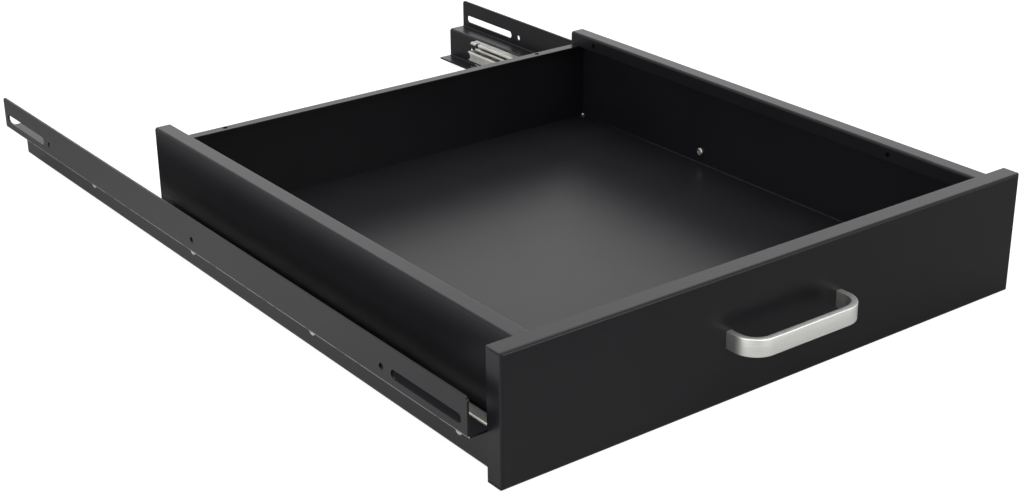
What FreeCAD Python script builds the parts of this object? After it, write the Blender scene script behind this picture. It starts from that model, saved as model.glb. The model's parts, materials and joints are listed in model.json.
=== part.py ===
import FreeCAD, Part
import math
import os
import Sketcher

# A sliding rack drawer: a folded steel tray behind a folded front panel, on two
# ball-bearing telescopic slides, each carried by a folded side bracket.
# Frame: X across, Y from the front to the back, Z up, in millimetres. The origin is
# centred under the whole object, level with the bottom edge of the front panel.

Vector = FreeCAD.Vector

# ---------------------------------------------------------------- driving dimensions
SIZES = {
    # front panel: a shallow folded box, open at the back
    "panel_width": 443.0,
    "panel_height": 88.0,
    "panel_depth": 14.0,
    "panel_sheet": 1.2,
    "panel_bend": 2.0,
    "panel_joint": 0.4,
    # standoffs inside the panel, which the tray is screwed to
    "standoff_diameter": 8.0,
    "standoff_inset": 14.1,
    "standoff_height": 24.0,
    "standoff_pitch": 40.0,
    # bow handle
    "handle_pitch": 96.0,
    "handle_thickness": 4.5,
    "handle_height": 12.0,
    "handle_reach": 24.0,
    "handle_bend": 10.5,
    "handle_chamfer": 0.5,
    "handle_screw_diameter": 3.0,
    "handle_screw_head_diameter": 6.0,
    "handle_screw_head_height": 2.0,
    "handle_screw_length": 8.0,
    # tray
    "tray_width": 408.2,
    "tray_depth": 438.5,
    "tray_height": 79.2,
    "tray_sheet": 1.2,
    "tray_bend": 0.8,
    "tray_hem": 13.6,
    "tray_lip": 11.0,
    "end_flange": 9.5,
    "lip_hole_diameter": 4.0,
    "lip_hole_front": 77.5,
    "lip_hole_back": 29.5,
    "lip_hole_drop": 6.5,
    "flange_hole_inset": 55.1,
    "access_hole_diameter": 12.0,
    # side brackets
    "bracket_length": 659.2,
    "bracket_gap": 0.8,
    "bracket_sheet": 1.5,
    "bracket_bend": 1.0,
    "bracket_lift": 5.5,
    "bracket_wall": 26.6,
    "bracket_lip": 13.8,
    "bracket_shelf": 15.9,
    "bracket_flange": 26.7,
    "bracket_corner": 3.0,
    "slot_length": 72.0,
    "slot_height": 6.5,
    "slot_inset": 42.0,
    "slot_rise": 10.1,
    "round_hole_diameter": 4.8,
    "round_hole_inset": 88.5,
    "spare_hole_diameter": 4.0,
    "spare_hole_inset": 35.0,
    # telescopic slides, each of three nested members
    "slide_length": 610.0,
    "slide_setback": 2.2,
    "slide_thickness": 13.0,
    "slide_height": 26.0,
    "slide_sheet": 1.2,
    "slide_bend": 0.5,
    "outer_reach": 9.6,
    "middle_web": 3.4,
    "middle_reach": 9.9,
    "inner_reach": 6.8,
    "member_lip": 2.0,
    "middle_shorter": 8.0,
    "inner_notch_diameter": 8.0,
    "flange_notch": 4.0,
    "flange_notch_inset": 8.0,
    # balls and cages
    "ball_diameter": 2.5,
    "ball_play": 0.25,
    "cage_length": 300.0,
    "cage_sheet": 0.5,
    "cage_bend": 0.3,
    "cage_rim": 0.6,
    "cage_clearance": 0.5,
    "cage_play": 0.1,
    "ball_side_play": 0.35,
    "ball_count": 3,
    "ball_inset": 10.0,
    # screws that hold the slides
    "screw_diameter": 4.0,
    "screw_head_diameter": 8.4,
    "screw_head_height": 2.5,
    "screw_play": 0.4,
    "bracket_screw_inset": 29.9,
    "bracket_screw_pitch": 164.9,
    "bracket_screw_count": 4,
    "drawer_screw_inset": 61.0,
    "drawer_screw_pitch": 224.0,
    "drawer_screw_count": 2,
    "drawer_screw_tip": 1.0,
    "panel_screw_length": 8.0,
    # rubber bumpers at the back of the slides
    "bumper_height": 17.0,
    "bumper_corner": 1.5,
    "bumper_play": 0.3,
}

doc = FreeCAD.newDocument("rack_drawer")
sheet = doc.addObject("Spreadsheet::Sheet", "Sizes")
for row, (alias, number) in enumerate(SIZES.items(), 1):
    sheet.set(f"A{row}", alias)
    sheet.set(f"B{row}", str(number))
    sheet.setAlias(f"B{row}", alias)
doc.recompute()


class Size:
    """A value together with the spreadsheet expression that it follows."""

    def __init__(self, number, text=None):
        self.number = float(number)
        self.text = text or repr(self.number)

    def __add__(self, other):
        other = as_size(other)
        return Size(self.number + other.number, f"({self.text} + {other.text})")

    def __sub__(self, other):
        other = as_size(other)
        return Size(self.number - other.number, f"({self.text} - {other.text})")

    def __mul__(self, factor):
        return Size(self.number * factor, f"({self.text} * {factor})")

    def __truediv__(self, divisor):
        return Size(self.number / divisor, f"({self.text} / {divisor})")

    def __neg__(self):
        return self * -1


def as_size(value):
    return value if isinstance(value, Size) else Size(value)


def read(alias):
    return Size(sheet.get(alias), f"Sizes.{alias}")


s = type("Sizes", (), {alias: read(alias) for alias in SIZES})
ZERO = Size(0)
PAIR = Size(2)
# two lengths this near are the same
NEAR = 1e-6
# a cube whose edges are cut back by this share of its side has all its flats alike
EDGE_SHARE = 1 - math.sqrt(0.5)

# ------------------------------------------------------------------ derived positions
# Y counts from the panel's front face, X from the centre plane, Z from the panel's foot.
panel_half = s.panel_width / 2
panel_top = s.panel_height
tray_half = s.tray_width / 2
tray_front = s.panel_depth
tray_back = s.panel_depth + s.tray_depth
tray_foot = s.panel_height - s.tray_height
end_wall_top = s.panel_height - s.tray_lip
bracket_front = s.panel_depth + s.bracket_gap
bracket_back = bracket_front + s.bracket_length
wall_inside = tray_half + s.slide_thickness
wall_outside = wall_inside + s.bracket_sheet
flange_outside = wall_outside + s.bracket_shelf
shelf_foot = s.bracket_lift + s.bracket_wall
slot_level = shelf_foot + s.slot_rise
slide_front = bracket_front + s.slide_setback
slide_back = slide_front + s.slide_length
slide_foot = s.bracket_lift + s.bracket_sheet
slide_level = slide_foot + s.slide_height / 2
ball_gap = s.ball_diameter + s.ball_play * 2
outer_half = s.slide_height / 2
middle_half = outer_half - s.slide_sheet - ball_gap
inner_half = middle_half - s.slide_sheet - ball_gap
outer_ball_level = middle_half + ball_gap / 2
inner_ball_level = inner_half + ball_gap / 2
handle_level = s.panel_height / 2
standoff_across = tray_half - s.standoff_inset
standoff_rows = ("V_Axis", s.standoff_pitch)
first_bracket_screw = bracket_front + s.bracket_screw_inset
first_drawer_screw = tray_front + s.drawer_screw_inset
# each cage stays between its two members over the whole travel, so it lies midway
cage_front = slide_front + (s.slide_length - s.cage_length) / 2
front_face = s.handle_reach - (s.handle_reach + bracket_back) / 2

# ------------------------------------------------------------------- drawing helpers
# the way each origin plane's normal points along the axis that it is square to
NORMAL = {"XY_Plane": 1, "XZ_Plane": -1, "YZ_Plane": 1}


def new_body(label):
    """An empty body, placed so that its Y counts from the panel's front face."""
    body = doc.addObject("PartDesign::Body", label)
    body.Label = label
    body.AllowCompound = True
    body.setExpression("Placement.Base.y", front_face.text)
    return body


def new_sketch(body, plane, level):
    """A sketch on one of the body's origin planes, moved to the given level."""
    sketch = body.newObject("Sketcher::SketchObject", f"{body.Name}_outline")
    for feature in body.Origin.OriginFeatures:
        if feature.Role == plane:
            sketch.AttachmentSupport = (feature, [""])
    sketch.MapMode = "FlatFace"
    sketch.setExpression("AttachmentOffset.Base.z", (as_size(level) * NORMAL[plane]).text)
    return sketch


def fix(sketch, kind, *where, size):
    """Adds a dimension that follows a size."""
    index = sketch.addConstraint(Sketcher.Constraint(kind, *where, size.number))
    sketch.setExpression(f"Constraints[{index}]", size.text)


def fix_point(sketch, geometry, point, across, up):
    fix(sketch, "DistanceX", -1, 1, geometry, point, size=across)
    fix(sketch, "DistanceY", -1, 1, geometry, point, size=up)


def draw_outline(sketch, corners):
    """A closed outline of upright and level sides. A corner is (across, up, radius or None)."""
    spots = [Vector(across.number, up.number) for across, up, _ in corners]
    radii = [radius.number if radius else 0.0 for _, _, radius in corners]
    count = len(corners)
    ways = [(spots[(i + 1) % count] - spots[i]).normalize() for i in range(count)]
    sides = []
    for i, (across, up, _) in enumerate(corners):
        start = spots[i] + ways[i] * radii[i]
        end = spots[(i + 1) % count] - ways[i] * radii[(i + 1) % count]
        side = sketch.addGeometry(Part.LineSegment(start, end))
        sides.append(side)
        if abs(ways[i].x) > 0.5:
            sketch.addConstraint(Sketcher.Constraint("Horizontal", side))
            fix(sketch, "DistanceY", -1, 1, side, 1, size=up)
        else:
            sketch.addConstraint(Sketcher.Constraint("Vertical", side))
            fix(sketch, "DistanceX", -1, 1, side, 1, size=across)
    for i, (_, _, radius) in enumerate(corners):
        before, after = sides[i - 1], sides[i]
        if not radius:
            sketch.addConstraint(Sketcher.Constraint("Coincident", before, 2, after, 1))
            continue
        arriving, leaving = ways[i - 1], ways[i]
        centre = spots[i] + (leaving - arriving) * radii[i]
        turns_left = arriving.cross(leaving).z > 0
        first, last = (-leaving, arriving) if turns_left else (arriving, -leaving)
        circle = Part.Circle(centre, Vector(0, 0, 1), radii[i])
        begin = circle.parameter(centre + first * radii[i])
        finish = circle.parameter(centre + last * radii[i])
        arc = sketch.addGeometry(Part.ArcOfCircle(circle, begin, finish))
        entry, leave = (1, 2) if turns_left else (2, 1)
        sketch.addConstraint(Sketcher.Constraint("Tangent", before, 2, arc, entry))
        sketch.addConstraint(Sketcher.Constraint("Tangent", arc, leave, after, 1))
        fix(sketch, "Radius", arc, size=radius)


def draw_rectangle(sketch, left, right, low, high):
    corners = [(left, low), (right, low), (right, high), (left, high)]
    draw_outline(sketch, [(*corner, None) for corner in corners])


def draw_polygon(sketch, corners):
    """A closed outline of straight sides that may slant. A corner is (across, up)."""
    spots = [Vector(across.number, up.number) for across, up in corners]
    sides = [
        sketch.addGeometry(Part.LineSegment(start, end))
        for start, end in zip(spots, spots[1:] + spots[:1])
    ]
    for before, after, corner in zip(sides[-1:] + sides[:-1], sides, corners):
        sketch.addConstraint(Sketcher.Constraint("Coincident", before, 2, after, 1))
        fix_point(sketch, after, 1, *corner)


def draw_circle(sketch, across, up, diameter):
    centre = Vector(across.number, up.number)
    circle = sketch.addGeometry(Part.Circle(centre, Vector(0, 0, 1), diameter.number / 2))
    fix_point(sketch, circle, 3, across, up)
    fix(sketch, "Diameter", circle, size=diameter)


def draw_slot(sketch, across, up, length, height):
    """A level slot with round ends."""
    reach = (length - height) / 2
    ends = []
    for way in (-1, 1):
        centre = Vector((across + reach * way).number, up.number)
        circle = Part.Circle(centre, Vector(0, 0, 1), height.number / 2)
        begin = circle.parameter(centre + Vector(0, -way, 0))
        finish = circle.parameter(centre + Vector(0, way, 0))
        arc = sketch.addGeometry(Part.ArcOfCircle(circle, begin, finish))
        fix_point(sketch, arc, 3, across + reach * way, up)
        ends.append(arc)
    left, right = ends
    for left_point, right_point, way in ((2, 1, -1), (1, 2, 1)):
        level = up.number + way * height.number / 2
        start = Vector((across - reach).number, level)
        end = Vector((across + reach).number, level)
        side = sketch.addGeometry(Part.LineSegment(start, end))
        sketch.addConstraint(Sketcher.Constraint("Tangent", left, left_point, side, 1))
        sketch.addConstraint(Sketcher.Constraint("Tangent", side, 2, right, right_point))
    fix(sketch, "Radius", left, size=height / 2)


def folded_sheet(skin, thickness, bend):
    """Corners of a folded sheet: along its skin, and back one thickness to the left."""
    ways = []
    for (x0, y0), (x1, y1) in zip(skin, skin[1:]):
        length = Vector(x1.number - x0.number, y1.number - y0.number)
        ways.append(length.normalize())
    there, back = [], []
    for i, (across, up) in enumerate(skin):
        meeting = ways[max(i - 1, 0):i + 1]
        inside = [Vector(-way.y, way.x) for way in meeting]
        shift_x = sum(round(way.x) for way in inside)
        shift_y = sum(round(way.y) for way in inside)
        behind = (across + thickness * shift_x, up + thickness * shift_y)
        if len(meeting) == 1:
            there.append((across, up, None))
            back.append((*behind, None))
            continue
        turns_left = meeting[0].cross(meeting[1]).z > 0
        outside_radius, inside_radius = bend + thickness, bend
        there.append((across, up, outside_radius if turns_left else inside_radius))
        back.append((*behind, inside_radius if turns_left else outside_radius))
    return there + back[::-1]


def extrude(body, sketch, length, towards=1):
    """A pad whose sense along the axis is towards."""
    feature = body.newObject("PartDesign::Pad", f"{body.Name}_pad")
    feature.Profile = sketch
    feature.setExpression("Length", length.text)
    feature.Reversed = NORMAL[sketch_plane(sketch)] != towards
    return feature


def sketch_plane(sketch):
    return sketch.AttachmentSupport[0][0].Role


def cut(body, sketch, length, towards=1):
    """A pocket of the given depth along the axis."""
    before = solid_volume(body)
    feature = body.newObject("PartDesign::Pocket", f"{body.Name}_cut")
    feature.Profile = sketch
    feature.setExpression("Length", length.text)
    feature.Reversed = NORMAL[sketch_plane(sketch)] == towards
    doc.recompute()
    assert solid_volume(body) < before, f"{body.Label}: a cut removes nothing"
    return feature


def solid_volume(body):
    doc.recompute()
    return body.Shape.Volume


def repeat(body, features, sketch, axis, pitch, count, second=None):
    """A straight pattern along the sketch's own axis, and a second row where it is given.

    It repeats the features, or the whole shape where there are none."""
    pattern = body.newObject("PartDesign::LinearPattern", f"{body.Name}_pattern")
    pattern.Originals = features
    pattern.TransformMode = "Features" if features else "Whole shape"
    pattern.Direction = (sketch, [axis])
    pattern.Mode = "Spacing"
    pattern.setExpression("Offset", pitch.text)
    pattern.setExpression("Occurrences", count.text)
    if second:
        pattern.Direction2 = (sketch, [second[0]])
        pattern.Mode2 = "Extent"
        pattern.setExpression("Length2", second[1].text)
        pattern.Occurrences2 = 2
    body.Tip = pattern
    return pattern


def spin(body, sketch, corners):
    """A solid turned about the first side of the outline."""
    draw_polygon(sketch, corners)
    feature = body.newObject("PartDesign::Revolution", f"{body.Name}_turned")
    feature.Profile = sketch
    feature.ReferenceAxis = (sketch, ["Edge1"])
    feature.Angle = 360
    return feature


def screw(label, plane, level, axis_level, seat, sense, kind, length):
    """A pan-head screw, turned about a line that runs along the sketch's first axis.

    Its head stands on the seat, away from sense, and its shank goes along sense."""
    diameter, head, head_height = kind
    body = new_body(label)
    sketch = new_sketch(body, plane, level)
    head_end = seat - head_height * sense
    tip = seat + length * sense
    corners = [
        (head_end, axis_level),
        (tip, axis_level),
        (tip, axis_level + diameter / 2),
        (seat, axis_level + diameter / 2),
        (seat, axis_level + head / 2),
        (head_end, axis_level + head / 2 - head_height / 2),
    ]
    return body, sketch, spin(body, sketch, corners)


SLIDE_SCREW = (s.screw_diameter, s.screw_head_diameter, s.screw_head_height)
HANDLE_SCREW = (s.handle_screw_diameter, s.handle_screw_head_diameter, s.handle_screw_head_height)


# ------------------------------------------------------------------------- the drawer
def build_tray():
    """One sheet folded into the floor, the sides, their hems and the lips under the hems."""
    body = new_body("drawer_tray")
    section = new_sketch(body, "XZ_Plane", tray_front)
    hem_edge = tray_half - s.tray_hem
    right = [
        (tray_half, tray_foot),
        (tray_half, panel_top),
        (hem_edge, panel_top),
        (hem_edge, end_wall_top),
    ]
    left = [(-across, up) for across, up in right[::-1]]
    draw_outline(section, folded_sheet(left + right, s.tray_sheet, s.tray_bend))
    extrude(body, section, s.tray_depth)

    for side in (-1, 1):
        holes = new_sketch(body, "YZ_Plane", hem_edge * side)
        for along in (tray_front + s.lip_hole_front, tray_back - s.lip_hole_back):
            draw_circle(holes, along, panel_top - s.lip_hole_drop, s.lip_hole_diameter)
        cut(body, holes, s.tray_sheet, side)

    # clearance holes for the screws into the slides, through both sides at once
    holes = new_sketch(body, "YZ_Plane", -tray_half)
    draw_circle(holes, first_drawer_screw, slide_level, s.screw_diameter + s.screw_play)
    feature = cut(body, holes, s.tray_width)
    repeat(body, [feature], holes, "H_Axis", s.drawer_screw_pitch, s.drawer_screw_count)


def build_end_wall(label, end, inward):
    """A sheet that closes the tray at one end, with a flange bent inward under the lips."""
    body = new_body(label)
    inside = tray_half - s.tray_sheet
    floor = tray_foot + s.tray_sheet
    section = new_sketch(body, "YZ_Plane", -inside)
    skin = [
        (end + s.end_flange * inward, end_wall_top),
        (end, end_wall_top),
        (end, floor),
    ]
    if inward < 0:
        skin.reverse()
    draw_outline(section, folded_sheet(skin, s.tray_sheet, s.tray_bend))
    plate = extrude(body, section, inside * 2)
    doc.recompute()
    low_corners = [
        f"Edge{i}"
        for i, edge in enumerate(plate.Shape.Edges, 1)
        if edge.BoundBox.ZMax < floor.number + NEAR and edge.BoundBox.XLength < NEAR
    ]
    rounded = body.newObject("PartDesign::Fillet", f"{label}_corners")
    rounded.Base = (plate, low_corners)
    rounded.setExpression("Radius", s.tray_bend.text)
    return body


def build_front_wall():
    body = build_end_wall("tray_front_wall", tray_front, 1)
    holes = new_sketch(body, "XZ_Plane", tray_front)
    draw_circle(holes, -standoff_across, s.standoff_height, s.screw_diameter + s.screw_play)
    feature = cut(body, holes, s.tray_sheet)
    repeat(body, [feature], holes, "H_Axis", standoff_across * 2, PAIR, standoff_rows)
    holes = new_sketch(body, "XZ_Plane", tray_front)
    for side in (-1, 1):
        draw_circle(holes, s.handle_pitch / 2 * side, handle_level, s.access_hole_diameter)
    cut(body, holes, s.tray_sheet)


def build_back_wall():
    body = build_end_wall("tray_back_wall", tray_back, -1)
    holes = new_sketch(body, "XY_Plane", end_wall_top)
    across = tray_half - s.flange_hole_inset
    for side in (-1, 1):
        draw_circle(holes, across * side, tray_back - s.end_flange / 2, s.lip_hole_diameter)
    cut(body, holes, s.tray_sheet, -1)


def build_front_panel():
    """A folded box, open at the back, whose end returns butt under the top and bottom ones."""
    body = new_body("front_panel")
    outline = new_sketch(body, "XZ_Plane", ZERO)
    draw_rectangle(outline, -panel_half, panel_half, ZERO, panel_top)
    block = extrude(body, outline, s.panel_depth)
    doc.recompute()
    front_edges = [
        f"Edge{i}"
        for i, edge in enumerate(block.Shape.Edges, 1)
        if all(abs(vertex.Y) < NEAR for vertex in edge.Vertexes)
    ]
    bends = body.newObject("PartDesign::Fillet", "panel_bends")
    bends.Base = (block, front_edges)
    bends.setExpression("Radius", s.panel_bend.text)
    hollow = new_sketch(body, "XZ_Plane", s.panel_sheet)
    inside = panel_half - s.panel_sheet
    draw_rectangle(hollow, -inside, inside, s.panel_sheet, panel_top - s.panel_sheet)
    cut(body, hollow, s.panel_depth - s.panel_sheet)

    joints = new_sketch(body, "XZ_Plane", s.panel_bend)
    for side in (-1, 1):
        edges = [(panel_half - s.panel_sheet) * side, panel_half * side]
        left, right = edges[::side]
        above = panel_top - s.panel_sheet
        draw_rectangle(joints, left, right, above - s.panel_joint, above)
        draw_rectangle(joints, left, right, s.panel_sheet, s.panel_sheet + s.panel_joint)
    cut(body, joints, s.panel_depth - s.panel_bend)

    holes = new_sketch(body, "XZ_Plane", ZERO)
    clearance = s.handle_screw_diameter + s.screw_play
    for side in (-1, 1):
        draw_circle(holes, s.handle_pitch / 2 * side, handle_level, clearance)
    cut(body, holes, s.panel_sheet)


def build_standoffs():
    """Threaded standoffs on the inside of the panel."""
    body = new_body("panel_standoffs")
    section = new_sketch(body, "YZ_Plane", -standoff_across)
    bore_end = tray_front + s.tray_sheet - s.panel_screw_length - s.screw_play
    rim = s.standoff_height + s.standoff_diameter / 2
    bore = s.standoff_height + s.screw_diameter / 2
    corners = [
        (s.panel_sheet, s.standoff_height),
        (bore_end, s.standoff_height),
        (bore_end, bore),
        (tray_front, bore),
        (tray_front, rim),
        (s.panel_sheet, rim),
    ]
    feature = spin(body, section, corners)
    repeat(body, [feature], section, "N_Axis", standoff_across * 2, PAIR, standoff_rows)


def build_handle():
    """A flat bar bent into a bow, with its long edges chamfered."""
    body = new_body("handle")
    outline = new_sketch(body, "XY_Plane", handle_level - s.handle_height / 2)
    half = s.handle_pitch / 2 + s.handle_thickness / 2
    skin = [
        (-half, ZERO),
        (-half, -s.handle_reach),
        (half, -s.handle_reach),
        (half, ZERO),
    ]
    draw_outline(outline, folded_sheet(skin, s.handle_thickness, s.handle_bend))
    bar = extrude(body, outline, s.handle_height)
    doc.recompute()
    box = bar.Shape.BoundBox
    long_edges = []
    for i, edge in enumerate(bar.Shape.Edges, 1):
        bounds = edge.BoundBox
        on_rim = bounds.ZMax < box.ZMin + NEAR or bounds.ZMin > box.ZMax - NEAR
        if on_rim and bounds.YMin < -NEAR:
            long_edges.append(f"Edge{i}")
    bevel = body.newObject("PartDesign::Chamfer", "handle_bevel")
    bevel.Base = (bar, long_edges)
    bevel.setExpression("Size", s.handle_chamfer.text)
    bores = new_sketch(body, "XZ_Plane", ZERO)
    for side in (-1, 1):
        draw_circle(bores, s.handle_pitch / 2 * side, handle_level, s.handle_screw_diameter)
    cut(body, bores, s.handle_screw_length - s.panel_sheet + s.screw_play, -1)


def build_drawer_fasteners():
    inside = tray_front + s.tray_sheet
    body, sketch, feature = screw(
        "panel_screws", "YZ_Plane", -standoff_across, s.standoff_height,
        inside, -1, SLIDE_SCREW, s.panel_screw_length)
    repeat(body, [feature], sketch, "N_Axis", standoff_across * 2, PAIR, standoff_rows)

    body, sketch, feature = screw(
        "handle_screws", "YZ_Plane", -s.handle_pitch / 2, handle_level,
        s.panel_sheet, -1, HANDLE_SCREW, s.handle_screw_length)
    repeat(body, [feature], sketch, "N_Axis", s.handle_pitch, PAIR)


# ------------------------------------------------------- brackets and slides, per side
def mirrored(points, side):
    """The points for the right side as they are, or the left side's in the order that a fold needs."""
    if side > 0:
        return points
    return [(-across, up) for across, up in points[::-1]]


def build_bracket(name, side):
    """A sheet folded four times: lip, wall, shelf and rack flange."""
    body = new_body(f"{name}_bracket")
    section = new_sketch(body, "XZ_Plane", bracket_front)
    flange_top = shelf_foot + s.bracket_flange
    skin = [
        (wall_outside - s.bracket_lip, s.bracket_lift),
        (wall_outside, s.bracket_lift),
        (wall_outside, shelf_foot),
        (flange_outside, shelf_foot),
        (flange_outside, flange_top),
    ]
    draw_outline(section, folded_sheet(mirrored(skin, side), s.bracket_sheet, s.bracket_bend))
    sheet_run = extrude(body, section, s.bracket_length)
    doc.recompute()
    corners = [
        f"Edge{i}"
        for i, edge in enumerate(sheet_run.Shape.Edges, 1)
        if edge.BoundBox.ZMin > flange_top.number - NEAR and edge.BoundBox.YLength < NEAR
    ]
    rounded = body.newObject("PartDesign::Fillet", f"{name}_corners")
    rounded.Base = (sheet_run, corners)
    rounded.setExpression("Radius", s.bracket_corner.text)

    holes = new_sketch(body, "YZ_Plane", flange_outside * side)
    for along in (bracket_front + s.slot_inset, bracket_back - s.slot_inset):
        draw_slot(holes, along, slot_level, s.slot_length, s.slot_height)
    middle = bracket_front + s.bracket_length / 2
    for along in (bracket_front + s.round_hole_inset, middle, bracket_back - s.round_hole_inset):
        draw_circle(holes, along, slot_level, s.round_hole_diameter)
    cut(body, holes, s.bracket_sheet, -side)

    holes = new_sketch(body, "YZ_Plane", wall_outside * side)
    draw_circle(holes, bracket_back - s.spare_hole_inset, slide_level, s.spare_hole_diameter)
    cut(body, holes, s.bracket_sheet, -side)
    holes = new_sketch(body, "YZ_Plane", wall_outside * side)
    draw_circle(holes, first_bracket_screw, slide_level, s.screw_diameter + s.screw_play)
    feature = cut(body, holes, s.bracket_sheet, -side)
    repeat(body, [feature], holes, "H_Axis", s.bracket_screw_pitch, s.bracket_screw_count)


def channel(back, reach, half, lip=None):
    """The skin of a channel on the right side: its web at back, its flanges to reach, then lips."""
    skin = [
        (reach, slide_level - half),
        (back, slide_level - half),
        (back, slide_level + half),
        (reach, slide_level + half),
    ]
    if lip:
        skin = [(reach, slide_level - half + lip), *skin, (reach, slide_level + half - lip)]
    return skin


def build_member(label, side, skin, length):
    """One channel of a slide, rolled from sheet and running back from the slide's front."""
    body = new_body(label)
    section = new_sketch(body, "XZ_Plane", slide_front)
    draw_outline(section, folded_sheet(mirrored(skin, side), s.slide_sheet, s.slide_bend))
    extrude(body, section, length)
    return body


def build_outer_member(name, side):
    reach = wall_inside - s.outer_reach
    body = build_member(
        f"{name}_outer_member", side,
        channel(wall_inside, reach, outer_half, s.member_lip), s.slide_length)
    holes = new_sketch(body, "YZ_Plane", wall_inside * side)
    draw_circle(holes, first_bracket_screw, slide_level, s.screw_diameter)
    feature = cut(body, holes, s.slide_sheet, -side)
    repeat(body, [feature], holes, "H_Axis", s.bracket_screw_pitch, s.bracket_screw_count)
    notch = new_sketch(body, "XY_Plane", slide_level + outer_half)
    across = [reach * side, (reach + s.flange_notch) * side][::side]
    along = slide_back - s.flange_notch_inset
    draw_rectangle(notch, *across, along - s.flange_notch, along)
    cut(body, notch, s.member_lip, -1)


def build_middle_member(name, side):
    build_member(
        f"{name}_middle_member", side,
        channel(wall_inside - s.middle_web, wall_inside - s.middle_reach, middle_half, s.member_lip),
        s.slide_length - s.middle_shorter)


def build_inner_member(name, side):
    skin = channel(tray_half, tray_half + s.inner_reach, inner_half)[::-1]
    body = build_member(f"{name}_inner_member", side, skin, s.slide_length)
    holes = new_sketch(body, "YZ_Plane", tray_half * side)
    draw_circle(holes, first_drawer_screw, slide_level, s.screw_diameter)
    feature = cut(body, holes, s.slide_sheet, side)
    repeat(body, [feature], holes, "H_Axis", s.drawer_screw_pitch, s.drawer_screw_count)
    notch = new_sketch(body, "YZ_Plane", tray_half * side)
    draw_circle(notch, slide_back, slide_level, s.inner_notch_diameter)
    cut(body, notch, s.slide_sheet, side)


def build_ball_cage(name, side, web, lip_face, level):
    """A thin channel that holds a row of balls above and a row below.

    The cage's web lies against the web of the member around it, and the balls run
    beside that member's lip."""
    ball_line = lip_face + s.ball_diameter / 2 + s.ball_side_play
    rim = ball_line - s.ball_diameter / 2 - s.cage_rim
    cage = new_body(f"{name}_ball_cage")
    section = new_sketch(cage, "XZ_Plane", cage_front)
    skin = channel(web - s.cage_clearance, rim, level + s.cage_sheet / 2)
    draw_outline(section, folded_sheet(mirrored(skin, side), s.cage_sheet, s.cage_bend))
    extrude(cage, section, s.cage_length)
    pitch = (s.cage_length - s.ball_inset * 2) / (s.ball_count.number - 1)
    windows = new_sketch(cage, "XY_Plane", slide_level - level - s.ball_diameter / 2)
    half = s.ball_diameter / 2 + s.cage_play
    across = [(ball_line - half) * side, (ball_line + half) * side][::side]
    first = cage_front + s.ball_inset
    draw_rectangle(windows, *across, first - half, first + half)
    feature = cut(cage, windows, level * 2 + s.ball_diameter)
    repeat(cage, [feature], windows, "V_Axis", pitch, s.ball_count)

    # a ball is a cube with its edges cut back, so that its many copies stay light
    balls = new_body(f"{name}_balls")
    radius = s.ball_diameter / 2
    square = new_sketch(balls, "YZ_Plane", ball_line * side - radius)
    draw_rectangle(
        square, first - radius, first + radius,
        slide_level - level - radius, slide_level - level + radius)
    cube = extrude(balls, square, s.ball_diameter)
    doc.recompute()
    ball = balls.newObject("PartDesign::Chamfer", f"{name}_flats")
    ball.Base = (cube, [f"Edge{i}" for i in range(1, len(cube.Shape.Edges) + 1)])
    ball.setExpression("Size", (s.ball_diameter * EDGE_SHARE).text)
    doc.recompute()
    repeat(balls, [], square, "H_Axis", pitch, s.ball_count, ("V_Axis", level * 2))


def build_slide_fasteners(name, side):
    body, sketch, feature = screw(
        f"{name}_bracket_screws", "XY_Plane", slide_level, first_bracket_screw,
        wall_outside * side, -side, SLIDE_SCREW, s.bracket_sheet + s.slide_sheet)
    repeat(body, [feature], sketch, "V_Axis", s.bracket_screw_pitch, s.bracket_screw_count)
    body, sketch, feature = screw(
        f"{name}_drawer_screws", "XY_Plane", slide_level, first_drawer_screw,
        (tray_half - s.tray_sheet) * side, side, SLIDE_SCREW,
        s.tray_sheet + s.slide_sheet + s.drawer_screw_tip)
    repeat(body, [feature], sketch, "V_Axis", s.drawer_screw_pitch, s.drawer_screw_count)


def build_bumper(name, side):
    """A rubber block in the back of the outer member, which stops the middle one."""
    body = new_body(f"{name}_bumper")
    outline = new_sketch(body, "YZ_Plane", (wall_inside - s.slide_sheet) * side)
    front = slide_back - s.middle_shorter + s.bumper_play
    low = slide_level - s.bumper_height / 2
    high = slide_level + s.bumper_height / 2
    corners = [(front, low), (slide_back, low), (slide_back, high), (front, high)]
    draw_outline(outline, [(*corner, s.bumper_corner) for corner in corners])
    room = s.slide_thickness - s.slide_sheet - s.inner_reach - s.bumper_play
    extrude(body, outline, room, -side)


build_tray()
build_front_wall()
build_back_wall()
build_front_panel()
build_standoffs()
build_handle()
build_drawer_fasteners()
for name, side in (("left", -1), ("right", 1)):
    build_bracket(name, side)
    build_outer_member(name, side)
    build_middle_member(name, side)
    build_inner_member(name, side)
    outer_web = wall_inside - s.slide_sheet
    outer_lip = wall_inside - s.outer_reach + s.slide_sheet
    build_ball_cage(f"{name}_outer", side, outer_web, outer_lip, outer_ball_level)
    middle_web = wall_inside - s.middle_web - s.slide_sheet
    middle_lip = wall_inside - s.middle_reach + s.slide_sheet
    build_ball_cage(f"{name}_inner", side, middle_web, middle_lip, inner_ball_level)
    build_slide_fasteners(name, side)
    build_bumper(name, side)
doc.recompute()

# ------------------------------------------------------------------ checks and export
for feature in doc.Objects:
    wrong = {"Invalid", "Error"} & set(feature.State)
    assert not wrong, f"{feature.Label}: {feature.State}"
os.makedirs("parts", exist_ok=True)
for piece in doc.findObjects("PartDesign::Body"):
    shape = piece.Shape
    assert not shape.isNull() and shape.isValid(), f"{piece.Label}: bad shape"
    shape.exportStep(f"parts/{piece.Label}.step")
    print(f"{piece.Label}: {len(shape.Solids)} solids, {shape.Volume:.0f} mm3")
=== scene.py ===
import bmesh
import bpy
import json
import numpy as np
from mathutils import Matrix, Vector


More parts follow.
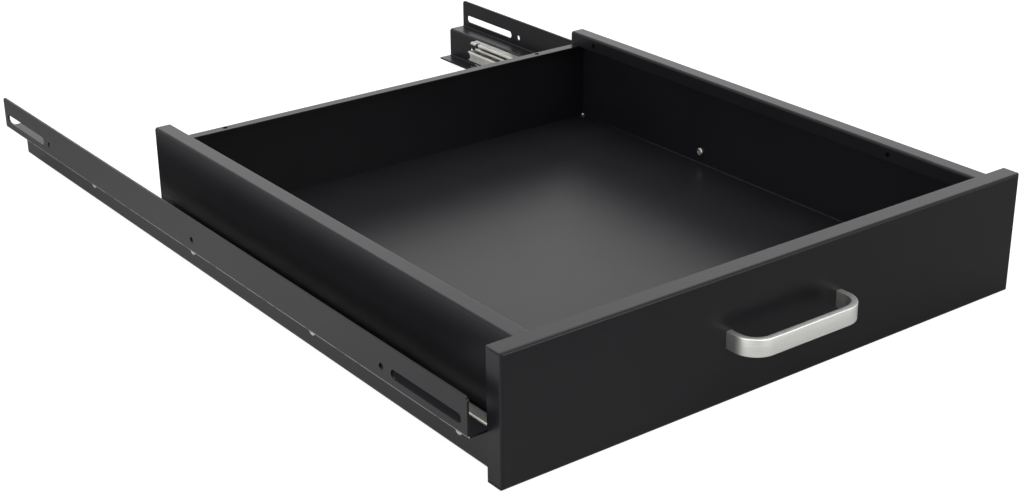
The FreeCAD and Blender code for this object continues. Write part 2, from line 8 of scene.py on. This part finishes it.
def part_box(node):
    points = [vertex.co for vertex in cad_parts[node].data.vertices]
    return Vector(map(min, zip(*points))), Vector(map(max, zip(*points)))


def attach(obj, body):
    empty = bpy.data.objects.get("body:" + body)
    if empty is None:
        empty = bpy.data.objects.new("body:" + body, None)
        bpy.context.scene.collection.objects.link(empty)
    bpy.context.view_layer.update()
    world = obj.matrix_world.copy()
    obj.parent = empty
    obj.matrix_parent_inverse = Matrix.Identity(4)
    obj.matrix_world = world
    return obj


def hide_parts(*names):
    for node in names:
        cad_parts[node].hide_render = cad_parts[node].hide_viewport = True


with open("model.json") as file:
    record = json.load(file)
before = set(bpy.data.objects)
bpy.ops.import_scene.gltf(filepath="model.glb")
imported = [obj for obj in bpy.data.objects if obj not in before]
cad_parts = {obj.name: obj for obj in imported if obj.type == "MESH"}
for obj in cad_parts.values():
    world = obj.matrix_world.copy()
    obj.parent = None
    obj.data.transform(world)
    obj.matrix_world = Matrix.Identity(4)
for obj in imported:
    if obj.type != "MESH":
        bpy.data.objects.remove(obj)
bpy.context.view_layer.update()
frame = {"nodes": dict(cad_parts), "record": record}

nodes = frame["nodes"]
mm = 0.001


# colours, nodes and objects
def linear(hexColour):
    # an sRGB hex colour as linear RGBA: the sRGB curve undone on each channel
    channels = np.array([int(hexColour[i:i + 2], 16) / 255 for i in (1, 3, 5)])
    curved = ((channels + 0.055) / 1.055) ** 2.4
    return (*np.where(channels <= 0.04045, channels / 12.92, curved), 1.0)


def addNode(tree, kind, settings=None, inputs=None):
    # adds a node of the kind, or takes the node given, with its settings and inputs. An input is a
    # value, or an output to link
    node = tree.nodes.new(kind) if isinstance(kind, str) else kind
    for key, value in (settings or {}).items():
        setattr(node, key, value)
    for key, value in (inputs or {}).items():
        if isinstance(value, bpy.types.NodeSocket):
            tree.links.new(value, node.inputs[key])
        else:
            node.inputs[key].default_value = value
    return node


def newMaterial(name):
    material = bpy.data.materials.new(name)
    material.use_nodes = True
    return material, material.node_tree, material.node_tree.nodes["Principled BSDF"]


def newObject(name, data):
    item = bpy.data.objects.new(name, data)
    bpy.context.scene.collection.objects.link(item)
    return item


# nearly all of a noise texture's values lie between these two
noiseSpan = {"From Min": 0.3, "From Max": 0.7}

# powder coat: polyester powder baked on sheet steel. Satin black, with a fine orange peel that
# breaks up reflections, and a faint cloud where the film is thicker
powderCoat = {
    "thin": "#201f23",
    "thick": "#171619",
    "cloudMm": 45,
    "peelMm": 1.6,  # about 0.5 mm on the real coat, drawn coarser so that it shows
    "peelDepthMm": 0.0015,
    "smoothest": 0.31,
    "roughest": 0.36,
    "specular": 0.20,
}
# brackets: the same coat, with a painted highlight along the outer fold at the foot of the
# rack flange: patches of bright metallic steel stand in for the light that the fold mirrors.
# The highlight band lies beyond a distance from the middle and near a height
foldHighlight = {
    # colour of the painted highlight on the fold
    "steel": "#b9b7b0",
    "outsideMm": 233.0,
    "levelMm": 32.95,
    "reachMm": 0.6,
    "patchMm": 18,
    "share": 0.42,
}


def blackPowderCoat(name, look, highlight=None):
    material, tree, shader = newMaterial(name)
    place = addNode(tree, "ShaderNodeTexCoord").outputs["Object"]
    cloud = addNode(tree, "ShaderNodeTexNoise", None, {
        "Vector": place, "Scale": 1000 / look["cloudMm"], "Detail": 3.0})
    colour = addNode(tree, "ShaderNodeMix", {"data_type": "RGBA"}, {
        0: cloud.outputs["Fac"], 6: linear(look["thick"]), 7: linear(look["thin"])})
    peel = addNode(tree, "ShaderNodeTexNoise", None, {
        "Vector": place, "Scale": 1000 / look["peelMm"], "Detail": 2.0})
    gloss = addNode(tree, "ShaderNodeMapRange", None, {
        "Value": peel.outputs["Fac"], **noiseSpan,
        "To Min": look["smoothest"], "To Max": look["roughest"]})
    relief = addNode(tree, "ShaderNodeBump", None, {
        "Height": peel.outputs["Fac"], "Strength": 1.0, "Distance": look["peelDepthMm"] * mm})
    addNode(tree, shader, None, {
        "Base Color": colour.outputs[2], "Roughness": gloss.outputs["Result"],
        "Normal": relief.outputs["Normal"], "IOR": 1.5, "Specular IOR Level": look["specular"]})
    # painted highlight: on the band, in patches, the coat turns to bright metallic steel in place
    # of the light mirrored along the fold
    if highlight:
        axes = addNode(tree, "ShaderNodeSeparateXYZ", None, {"Vector": place})
        across = addNode(tree, "ShaderNodeMath", {"operation": "ABSOLUTE"}, {0: axes.outputs["X"]})
        outside = addNode(tree, "ShaderNodeMath", {"operation": "GREATER_THAN"}, {
            0: across.outputs[0], 1: highlight["outsideMm"] * mm})
        level = addNode(tree, "ShaderNodeMath", {"operation": "COMPARE"}, {
            0: axes.outputs["Z"], 1: highlight["levelMm"] * mm, 2: highlight["reachMm"] * mm})
        patches = addNode(tree, "ShaderNodeTexNoise", None, {
            "Vector": place, "Scale": 1000 / highlight["patchMm"], "Detail": 2.0})
        highlightPatches = addNode(tree, "ShaderNodeMath", {"operation": "GREATER_THAN"}, {
            0: patches.outputs["Fac"], 1: highlight["share"]})
        band = addNode(tree, "ShaderNodeMath", {"operation": "MULTIPLY"}, {
            0: outside.outputs[0], 1: level.outputs[0]})
        wornAndHighlight = addNode(tree, "ShaderNodeMath", {"operation": "MULTIPLY"}, {
            0: band.outputs[0], 1: highlightPatches.outputs[0]})
        steel = addNode(tree, "ShaderNodeMix", {"data_type": "RGBA"}, {
            0: wornAndHighlight.outputs[0], 6: colour.outputs[2], 7: linear(highlight["steel"])})
        addNode(tree, shader, None, {
            "Base Color": steel.outputs[2], "Metallic": wornAndHighlight.outputs[0]})
    return material


# handle bar: aluminium brushed along its length and clear anodised, so it is silver with fine
# streaks that follow the bends
anodised = {
    "dark": "#d6d6d2",
    "light": "#f0efec",
    "streakMm": 0.12,
    "streakLengthMm": 30,
    "depthMm": 0.002,
    "smoothest": 0.34,
    "roughest": 0.44,
}


def brushedAluminium(name, look):
    material, tree, shader = newMaterial(name)
    place = addNode(tree, "ShaderNodeTexCoord").outputs["UV"]  # metres along the bar and round it
    stretched = addNode(tree, "ShaderNodeMapping", None, {
        "Vector": place, "Scale": (1000 / look["streakLengthMm"], 1000 / look["streakMm"], 1)})
    streaks = addNode(tree, "ShaderNodeTexNoise", None, {
        "Vector": stretched.outputs["Vector"], "Scale": 1.0, "Detail": 3.0})
    share = addNode(tree, "ShaderNodeMapRange", None, {
        "Value": streaks.outputs["Fac"], **noiseSpan})
    colour = addNode(tree, "ShaderNodeMix", {"data_type": "RGBA"}, {
        0: share.outputs["Result"], 6: linear(look["dark"]), 7: linear(look["light"])})
    gloss = addNode(tree, "ShaderNodeMapRange", None, {
        "Value": streaks.outputs["Fac"], **noiseSpan,
        "To Min": look["smoothest"], "To Max": look["roughest"]})
    relief = addNode(tree, "ShaderNodeBump", None, {
        "Height": streaks.outputs["Fac"], "Strength": 1.0, "Distance": look["depthMm"] * mm})
    addNode(tree, shader, None, {
        "Base Color": colour.outputs[2], "Roughness": gloss.outputs["Result"],
        "Normal": relief.outputs["Normal"], "Metallic": 1.0})
    return material


# slides, screws and weld beads: bright zinc plated steel. Pale grey with soft clouds, and faint
# lines where the rolls drew the strip
zinc = {
    "dull": "#aeada8",
    "bright": "#c6c5bf",
    "cloudMm": 12,
    "lineMm": 0.4,
    "lineLengthMm": 40,
    "depthMm": 0.001,
    "smoothest": 0.32,
    "roughest": 0.42,
}


def zincPlate(name, look):
    material, tree, shader = newMaterial(name)
    place = addNode(tree, "ShaderNodeTexCoord").outputs["Object"]
    cloud = addNode(tree, "ShaderNodeTexNoise", None, {
        "Vector": place, "Scale": 1000 / look["cloudMm"], "Detail": 4.0})
    share = addNode(tree, "ShaderNodeMapRange", None, {
        "Value": cloud.outputs["Fac"], **noiseSpan})
    colour = addNode(tree, "ShaderNodeMix", {"data_type": "RGBA"}, {
        0: share.outputs["Result"], 6: linear(look["dull"]), 7: linear(look["bright"])})
    fine, coarse = 1000 / look["lineMm"], 1000 / look["lineLengthMm"]
    drawn = addNode(tree, "ShaderNodeMapping", None, {
        "Vector": place, "Scale": (fine, coarse, fine)})
    lines = addNode(tree, "ShaderNodeTexNoise", None, {
        "Vector": drawn.outputs["Vector"], "Scale": 1.0, "Detail": 2.0})
    gloss = addNode(tree, "ShaderNodeMapRange", None, {
        "Value": lines.outputs["Fac"], **noiseSpan,
        "To Min": look["smoothest"], "To Max": look["roughest"]})
    relief = addNode(tree, "ShaderNodeBump", None, {
        "Height": lines.outputs["Fac"], "Strength": 1.0, "Distance": look["depthMm"] * mm})
    addNode(tree, shader, None, {
        "Base Color": colour.outputs[2], "Roughness": gloss.outputs["Result"],
        "Normal": relief.outputs["Normal"], "Metallic": 1.0})
    return material


# balls: hardened bearing steel, polished, under a patchy film of grease
bearing = {
    "clean": "#dededb",
    "greased": "#b9b8b2",
    "filmMm": 1.2,
    "smoothest": 0.07,
    "roughest": 0.2,
}


def polishedSteel(name, look):
    material, tree, shader = newMaterial(name)
    place = addNode(tree, "ShaderNodeTexCoord").outputs["Object"]
    film = addNode(tree, "ShaderNodeTexNoise", None, {
        "Vector": place, "Scale": 1000 / look["filmMm"], "Detail": 2.0})
    colour = addNode(tree, "ShaderNodeMix", {"data_type": "RGBA"}, {
        0: film.outputs["Fac"], 6: linear(look["clean"]), 7: linear(look["greased"])})
    gloss = addNode(tree, "ShaderNodeMapRange", None, {
        "Value": film.outputs["Fac"], **noiseSpan,
        "To Min": look["smoothest"], "To Max": look["roughest"]})
    addNode(tree, shader, None, {
        "Base Color": colour.outputs[2], "Roughness": gloss.outputs["Result"], "Metallic": 1.0})
    return material


# bumpers: moulded nitrile rubber, matt black with the fine grain of the mould
nitrile = {
    "deep": "#0e0e0e",
    "wornAndHighlight": "#1c1c1b",
    "grainMm": 0.5,
    "depthMm": 0.02,
    "smoothest": 0.6,
    "roughest": 0.78,
}


def mouldedRubber(name, look):
    material, tree, shader = newMaterial(name)
    place = addNode(tree, "ShaderNodeTexCoord").outputs["Object"]
    grain = addNode(tree, "ShaderNodeTexNoise", None, {
        "Vector": place, "Scale": 1000 / look["grainMm"], "Detail": 2.0})
    colour = addNode(tree, "ShaderNodeMix", {"data_type": "RGBA"}, {
        0: grain.outputs["Fac"], 6: linear(look["deep"]), 7: linear(look["wornAndHighlight"])})
    gloss = addNode(tree, "ShaderNodeMapRange", None, {
        "Value": grain.outputs["Fac"], **noiseSpan,
        "To Min": look["smoothest"], "To Max": look["roughest"]})
    relief = addNode(tree, "ShaderNodeBump", None, {
        "Height": grain.outputs["Fac"], "Strength": 1.0, "Distance": look["depthMm"] * mm})
    addNode(tree, shader, None, {
        "Base Color": colour.outputs[2], "Roughness": gloss.outputs["Result"],
        "Normal": relief.outputs["Normal"]})
    return material


finishes = {
    "black_powder": blackPowderCoat("black_powder_coat", powderCoat),
    "brushed_aluminium": brushedAluminium("brushed_anodised_aluminium", anodised),
    "zinc_steel": zincPlate("bright_zinc_plate", zinc),
    "polished_steel": polishedSteel("polished_bearing_steel", bearing),
    "black_rubber": mouldedRubber("moulded_black_rubber", nitrile),
}
# the brackets' coat, which carries the painted highlight along the fold
highlightCoat = blackPowderCoat("black_powder_coat_highlighted", powderCoat, foldHighlight)
for part in frame["record"]["subparts"]:
    mesh = nodes[part["node"]].data
    mesh.materials.clear()
    mesh.materials.append(finishes[part["material_slot"]])
for node in ("left_bracket", "right_bracket"):
    nodes[node].data.materials[0] = highlightCoat
print("materials:", len(finishes) + 1, "finishes on", len(nodes), "nodes")


# pieces
bodyOf = {
    node: body
    for body, members in frame["record"]["behaviour"]["bodies"].items() for node in members}
creaseDegrees = 40  # corners sharper than this stay sharp, and the rest are shaded smooth


def addPiece(name, finish, body, rings, places=((0, 0, 0),), faceMap=None):
    # a closed surface from a grid of rings (rows, around, 3), with a copy at each place. Quads join
    # each ring to the next, and a face closes the first ring and the last. faceMap gives metres
    # along the rows and round them for a UV map
    rows, around = rings.shape[:2]
    row, column = np.meshgrid(np.arange(rows - 1), np.arange(around), indexing="ij")
    cornerRow = np.stack([row, row, row + 1, row + 1], axis=-1).reshape(-1, 4)
    cornerColumn = np.stack([column, column + 1, column + 1, column], axis=-1).reshape(-1, 4)
    quads = cornerRow * around + cornerColumn % around
    caps = np.stack([np.arange(around)[::-1], np.arange(around) + (rows - 1) * around])
    starts = np.arange(len(places))[:, None, None] * rows * around
    faces = (quads + starts).reshape(-1, 4).tolist() + (caps + starts).reshape(-1, around).tolist()
    vertices = rings.reshape(1, -1, 3) + np.array(places)[:, None]
    mesh = bpy.data.meshes.new(name)
    mesh.from_pydata(vertices.reshape(-1, 3).tolist(), [], faces)
    if faceMap:
        along, girth = faceMap
        sides = np.stack([along[cornerRow], girth[cornerColumn]], axis=-1).reshape(-1, 2)
        ends = np.zeros((2 * around, 2))
        layer = mesh.uv_layers.new(name="bar")
        layer.data.foreach_set("uv", np.concatenate([sides, ends]).ravel())
    work = bmesh.new()
    work.from_mesh(mesh)
    bmesh.ops.recalc_face_normals(work, faces=work.faces)
    work.to_mesh(mesh)
    work.free()
    mesh.polygons.foreach_set("use_smooth", [True] * len(mesh.polygons))
    mesh.set_sharp_from_angle(angle=np.radians(creaseDegrees))
    mesh.materials.append(finishes[finish])
    piece = newObject(name, mesh)
    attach(piece, body)
    return piece


# handle: a flat bar carried along its bow, with softened edges
bow = {
    "thicknessMm": 4.5,
    "outerBendMm": 17,
    "edgeMm": 0.4,
    "edgeSteps": 4,
    "legSteps": 16,
    "bendSteps": 20,
    "spanSteps": 48,
}


def barProfile(width, height, edge, steps):
    # a rectangle whose corners are quarter circles, as (outward, up) round its middle
    turn = np.linspace(0, np.pi / 2, steps + 1)
    angle = (np.arange(4) * np.pi / 2)[:, None] + turn[None]
    corners = np.array([[1, 1], [-1, 1], [-1, -1], [1, -1]])
    middles = corners * (np.array([width, height]) / 2 - edge)
    across = middles[:, None, 0] + edge * np.cos(angle)
    up = middles[:, None, 1] + edge * np.sin(angle)
    return np.stack([across, up], axis=-1).reshape(-1, 2)


def bowPath(half, reach, bend, look):
    # out from the panel, a quarter circle, across, a quarter circle and back, as points (across,
    # depth) with the direction that faces away from the inside of the bow. The second half is the
    # first one mirrored
    leg = np.linspace(0, reach - bend, look["legSteps"])
    turn = np.linspace(0, np.pi / 2, look["bendSteps"] + 1)[1:]
    span = np.linspace(-half + bend, half - bend, look["spanSteps"])[1:-1]
    circle = np.stack([-np.cos(turn), -np.sin(turn)], axis=-1)
    halfPath = np.concatenate([
        np.stack([np.full_like(leg, -half), -leg], axis=-1),
        np.array([-half + bend, bend - reach]) + bend * circle])
    halfOut = np.concatenate([np.tile([-1.0, 0.0], (len(leg), 1)), circle])
    middle = np.stack([span, np.full_like(span, -reach)], axis=-1)
    middleOut = np.tile([0.0, -1.0], (len(span), 1))
    mirror = np.array([-1.0, 1.0])
    path = np.concatenate([halfPath, middle, (halfPath * mirror)[::-1]])
    out = np.concatenate([halfOut, middleOut, (halfOut * mirror)[::-1]])
    return path, out


def makeHandle(look):
    # each point of the profile goes out from the path by its width and up by its height
    low, high = (np.array(corner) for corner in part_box("handle"))
    thickness = look["thicknessMm"] * mm
    half = (high[0] - low[0] - thickness) / 2
    reach = high[1] - low[1] - thickness / 2
    path, out = bowPath(half, reach, look["outerBendMm"] * mm - thickness / 2, look)
    profile = barProfile(thickness, high[2] - low[2], look["edgeMm"] * mm, look["edgeSteps"])
    flat = path[:, None] + out[:, None] * profile[None, :, :1]
    rings = np.empty((len(path), len(profile), 3))
    rings[..., 0] = (low[0] + high[0]) / 2 + flat[..., 0]
    rings[..., 1] = high[1] + flat[..., 1]
    rings[..., 2] = (low[2] + high[2]) / 2 + profile[None, :, 1]
    closed = np.concatenate([profile, profile[:1]])
    faceMap = [
        np.concatenate([[0], np.cumsum(np.linalg.norm(np.diff(line, axis=0), axis=1))])
        for line in (path, closed)]
    piece = addPiece("handle_bar", "brushed_aluminium", "drawer", rings, faceMap=faceMap)
    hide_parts("handle")


makeHandle(bow)
print("handle: swept bar")


# screws: pan heads with a pressed cross recess, on threaded shanks. solidHeadMm is the width and
# height of the plain head that each replaces
screwSizes = {
    "slide": {
        "solidHeadMm": (8.4, 2.5), "headMm": 6.6, "headHeightMm": 1.9, "shankMm": 4.0,
        "pitchMm": 0.7, "crossReachMm": 2.0, "crossArmMm": 0.55, "crossDepthMm": 1.2},
    "handle": {
        "solidHeadMm": (6.0, 2.0), "headMm": 5.6, "headHeightMm": 1.8, "shankMm": 3.0,
        "pitchMm": 0.5, "crossReachMm": 1.8, "crossArmMm": 0.48, "crossDepthMm": 1.1},
}
# where each set stands: its axis (0 is X, 1 is Y), the end of that axis which has the heads, and
# how many screws stand along each of the other two axes
screwSets = {
    "left_bracket_screws": {"size": "slide", "axis": 0, "headEnd": -1, "counts": (4, 1)},
    "left_drawer_screws": {"size": "slide", "axis": 0, "headEnd": 1, "counts": (2, 1)},
    "right_bracket_screws": {"size": "slide", "axis": 0, "headEnd": 1, "counts": (4, 1)},
    "right_drawer_screws": {"size": "slide", "axis": 0, "headEnd": -1, "counts": (2, 1)},
    "panel_screws": {"size": "slide", "axis": 1, "headEnd": 1, "counts": (2, 2)},
    "handle_screws": {"size": "handle", "axis": 1, "headEnd": 1, "counts": (2, 1)},
}
screwForm = {
    "around": 72,
    "crownRings": 30,
    "firstRing": 0.01,  # radii as shares of the head's
    "rim": 0.985,
    "crownFall": 0.42,  # of the head's height, from its middle to its rim
    "side": ((1.0, 0.50), (1.0, 0.06), (0.985, 0.0)),  # shares of the head's radius and height
    "crossWallMm": 0.22,  # how far in from its walls, and from its ends, the cross is sloped
    "crossEndMm": 0.9,
    "ringsPerPitch": 6,
    "crestDrop": 0.14,  # shares of the pitch
    "threadDepth": 0.336,
    "tip": 0.8,  # of the shank's radius
}


def screwSurface(size, form, length):
    # rings round the Z axis, from the middle of the crown out to its rim, down the side, in under
    # the head and down the shank. The crown's height falls with the fourth power of the radius.
    # The recess is two crossed slots whose depth fades to nothing at their walls and their ends.
    # The thread is a triangle wave of height plus turn
    turn = np.linspace(0, 2 * np.pi, form["around"], endpoint=False)[None]
    circle = np.stack([np.cos(turn), np.sin(turn)], axis=-1)
    headRadius, height, pitch = size["headMm"] / 2, size["headHeightMm"], size["pitchMm"]
    share = np.linspace(form["firstRing"], 1, form["crownRings"])[:, None]
    crownPlan = (share * headRadius * form["rim"])[..., None] * circle
    narrow, wide = np.abs(crownPlan).min(axis=-1), np.abs(crownPlan).max(axis=-1)
    wall = np.clip((size["crossArmMm"] - narrow) / form["crossWallMm"], 0, 1)
    end = np.clip((size["crossReachMm"] - wide) / form["crossEndMm"], 0, 1)
    crown = height * (1 - form["crownFall"] * share ** 4) - size["crossDepthMm"] * wall * end
    side = np.array(form["side"])
    sidePlan = side[:, :1, None] * headRadius * circle
    depth = np.linspace(0, length, int(length / pitch * form["ringsPerPitch"]))[:, None]
    wave = np.abs(2 * np.mod(depth / pitch - turn / (2 * np.pi), 1) - 1)
    run = np.clip(np.minimum(depth, length - depth) / pitch, 0, 1)
    radius = size["shankMm"] / 2 - pitch * (form["crestDrop"] + form["threadDepth"] * wave * run)
    radius[-1] *= form["tip"]
    plan = np.concatenate([crownPlan, sidePlan, radius[..., None] * circle])
    level = np.concatenate([
        crown, np.broadcast_to(side[:, 1:] * height, (len(side), form["around"])),
        np.broadcast_to(-depth, radius.shape)])
    return np.concatenate([plan, level[..., None]], axis=-1) * mm


def makeScrews(node, look, size, form):
    # a node's screws stand at equal steps across their axis, in from the ends of the node's box
    axis, headEnd, counts = look["axis"], look["headEnd"], look["counts"]
    low, high = (np.array(corner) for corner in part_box(node))
    across = [i for i in range(3) if i != axis]
    inset, headHeight = size["solidHeadMm"][0] / 2 * mm, size["solidHeadMm"][1] * mm
    lines = [np.linspace(low[i] + inset, high[i] - inset, count) if count > 1
             else (low[i] + high[i]) / 2 for i, count in zip(across, counts)]
    surface = screwSurface(size, form, (high[axis] - low[axis] - headHeight) / mm)
    rings = np.empty(surface.shape)
    rings[..., across] = surface[..., :2]
    rings[..., axis] = surface[..., 2] * headEnd
    places = np.empty((counts[0] * counts[1], 3))
    places[:, across] = np.stack(np.meshgrid(*lines, indexing="ij"), axis=-1).reshape(-1, 2)
    places[:, axis] = (high[axis] if headEnd > 0 else low[axis]) - headEnd * headHeight
    piece = addPiece(node + "_cross", "zinc_steel", bodyOf[node], rings, places)
    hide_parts(node)


for node, look in screwSets.items():
    makeScrews(node, look, screwSizes[look["size"]], screwForm)
print("screws:", len(screwSets), "sets with cross recesses")


# balls: true spheres in place of the many-sided ones
ball = {
    "diameterMm": 2.5,
    "rings": 16,
    "around": 24,
    "pole": 0.04,  # radians left open at each pole, where a face closes the ring
    "perRow": 3,
}
# corner welds: a small bead of bare metal closes each bottom corner of the tray
weld = {
    "radiusMm": 1.3,
    "rings": 12,
    "around": 20,
    "pole": 0.05,
    "lobes": 3,
    "swell": 0.12,
    "sheetMm": 1.2,
    "sinkMm": 0.5,
}


def sphereRings(look):
    # latitude from near one pole to near the other, a full turn, and unit vectors: the sine of the
    # latitude times the turn's cosine and sine, with the cosine of the latitude for height
    latitude = np.linspace(look["pole"], np.pi - look["pole"], look["rings"])[:, None]
    turn = np.linspace(0, 2 * np.pi, look["around"], endpoint=False)[None]
    across = np.sin(latitude)
    units = np.stack(np.broadcast_arrays(
        across * np.cos(turn), across * np.sin(turn), np.cos(latitude)), axis=-1)
    return latitude, turn, units


def makeBalls(node, look):
    # spheres at equal steps along the slide, above and below
    low, high = (np.array(corner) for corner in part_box(node))
    radius = look["diameterMm"] / 2 * mm
    along = np.linspace(low[1] + radius, high[1] - radius, look["perRow"])
    places = [((low[0] + high[0]) / 2, y, z)
              for y in along for z in (low[2] + radius, high[2] - radius)]
    rings = radius * sphereRings(look)[2]
    piece = addPiece(node + "_round", "polished_steel", bodyOf[node], rings, places)
    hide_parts(node)


def makeCornerWelds(look):
    # a bead is a sphere whose radius swells and shrinks round each ring, sunk in the corner
    low, high = (np.array(corner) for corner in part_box("tray_back_wall"))
    sink = look["sinkMm"] * mm
    wall = look["sheetMm"] * mm + sink
    latitude, turn, units = sphereRings(look)
    swell = 1 + look["swell"] * np.sin(look["lobes"] * turn) * np.sin(latitude)
    rings = look["radiusMm"] * mm * swell[..., None] * units
    for end, y in (("front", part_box("tray_front_wall")[0][1] + wall), ("rear", high[1] - wall)):
        for side, x in (("left", low[0] + sink), ("right", high[0] - sink)):
            place = (x, y, low[2] + sink)
            addPiece(f"weld_{end}_{side}", "zinc_steel", "drawer", rings, [place])


for side in ("left", "right"):
    for ring in ("outer", "inner"):
        makeBalls(f"{side}_{ring}_balls", ball)
print("balls: four sets of spheres")
makeCornerWelds(weld)
print("welds: four beads")


# camera, lights, floor and backdrop
shot = {
    "place": (-0.7417, -1.0337, 0.5365),
    "azimuth": 36.72,
    "elevation": 23.74,
    "roll": -0.51,
    "lensMm": 63.05,
    "sensorMm": 36,
}


def makeCamera(look):
    # looks along its heading, then rolls about that line
    azimuth, elevation, roll = np.radians([look["azimuth"], look["elevation"], look["roll"]])
    forward = Vector((
        np.sin(azimuth) * np.cos(elevation), np.cos(azimuth) * np.cos(elevation),
        -np.sin(elevation)))
    level = forward.cross(Vector((0, 0, 1))).normalized()
    right = level * np.cos(roll) + level.cross(forward) * np.sin(roll)
    turned = Matrix((right, right.cross(forward), -forward)).transposed().to_4x4()
    camera = newObject("camera", bpy.data.cameras.new("camera"))
    camera.data.lens = look["lensMm"]
    camera.data.sensor_width = look["sensorMm"]
    camera.matrix_world = Matrix.Translation(look["place"]) @ turned
    bpy.context.scene.camera = camera


# all face the drawer. Those that don't light it are only mirrored in its gloss
softboxes = {
    "top": {"place": (0.2, 0.1, 2.4), "size": (2.4, 2.4), "power": 46, "lights": True},
    "left": {"place": (-2.2, -0.6, 0.5), "size": (1.4, 0.8), "power": 18, "lights": True},
    "back": {"place": (1.8, 2.5, 1.35), "size": (3.2, 1.8), "power": 14, "lights": False},
    "front": {"place": (0.6, -2.6, 0.55), "size": (2.4, 1.0), "power": 34, "lights": False},
}


def makeSoftboxes(looks):
    for name, look in looks.items():
        light = newObject(name + "_softbox", bpy.data.lights.new(name + "_softbox", "AREA"))
        light.data.shape = "RECTANGLE"
        light.data.size, light.data.size_y = look["size"]
        light.data.energy = look["power"]
        light.visible_camera = False
        light.visible_diffuse = look["lights"]
        light.location = look["place"]
        light.rotation_euler = (-Vector(look["place"])).to_track_quat("-Z", "Y").to_euler()


paper = {
    "colour": "#9a9a9a",
    "roughness": 0.9,
    "seenGlow": 0.93,
    "mirroredGlow": 0.17,
    "patchGlow": 0.9,
    "patchMiddle": (-0.6, -0.1, 0),
    "patchNearM": 0.1,
    "patchFarM": 0.75,
    "halfM": 12,
}


def makeFloor(look):
    # matt white paper. It glows a little where it is seen, so that it meets the backdrop, and
    # keeps the soft shadow under the drawer. The lit patch on the left is only mirrored
    half = look["halfM"]
    corners = [(-half, -half, 0), (half, -half, 0), (half, half, 0), (-half, half, 0)]
    mesh = bpy.data.meshes.new("paper_floor")
    mesh.from_pydata(corners, [], [(0, 1, 2, 3)])
    material, tree, shader = newMaterial("matt_paper")
    rays = addNode(tree, "ShaderNodeLightPath")
    mirrored = addNode(tree, "ShaderNodeMath", {"operation": "MAXIMUM"}, {
        0: rays.outputs["Is Glossy Ray"], 1: rays.outputs["Is Transmission Ray"]})
    place = addNode(tree, "ShaderNodeTexCoord").outputs["Object"]
    away = addNode(tree, "ShaderNodeVectorMath", {"operation": "DISTANCE"}, {
        0: place, 1: look["patchMiddle"]})
    patch = addNode(tree, "ShaderNodeMapRange", {"interpolation_type": "SMOOTHSTEP"}, {
        "Value": away.outputs["Value"],
        "From Min": look["patchNearM"], "From Max": look["patchFarM"],
        "To Min": look["patchGlow"], "To Max": look["mirroredGlow"]})
    dimmed = addNode(tree, "ShaderNodeMath", {"operation": "MULTIPLY"}, {
        0: mirrored.outputs[0], 1: patch.outputs["Result"]})
    glow = addNode(tree, "ShaderNodeMath", {"operation": "MULTIPLY_ADD"}, {
        0: rays.outputs["Is Camera Ray"], 1: look["seenGlow"], 2: dimmed.outputs[0]})
    addNode(tree, shader, None, {
        "Base Color": linear(look["colour"]), "Roughness": look["roughness"],
        "Specular IOR Level": 0.0, "Emission Color": (1, 1, 1, 1),
        "Emission Strength": glow.outputs[0]})
    mesh.materials.append(material)
    newObject("paper_floor", mesh)


backdrop = {"light": 0.42, "seen": 1.0}


def makeBackdrop(look):
    # white where it is seen or mirrored, and a softer level where it lights the drawer
    world = bpy.data.worlds.new("studio")
    bpy.context.scene.world = world
    world.use_nodes = True
    tree = world.node_tree
    rays = addNode(tree, "ShaderNodeLightPath")
    mirrored = addNode(tree, "ShaderNodeMath", {"operation": "MAXIMUM"}, {
        0: rays.outputs["Is Glossy Ray"], 1: rays.outputs["Is Transmission Ray"]})
    shown = addNode(tree, "ShaderNodeMath", {"operation": "MAXIMUM"}, {
        0: rays.outputs["Is Camera Ray"], 1: mirrored.outputs[0]})
    strength = addNode(tree, "ShaderNodeMapRange", None, {
        "Value": shown.outputs[0], "To Min": look["light"], "To Max": look["seen"]})
    addNode(tree, tree.nodes["Background"], None, {
        "Color": (1, 1, 1, 1), "Strength": strength.outputs["Result"]})


bpy.context.scene.view_settings.view_transform = "Standard"
makeCamera(shot)
makeSoftboxes(softboxes)
makeFloor(paper)
makeBackdrop(backdrop)
print("studio: camera,", len(softboxes), "softboxes, paper floor")
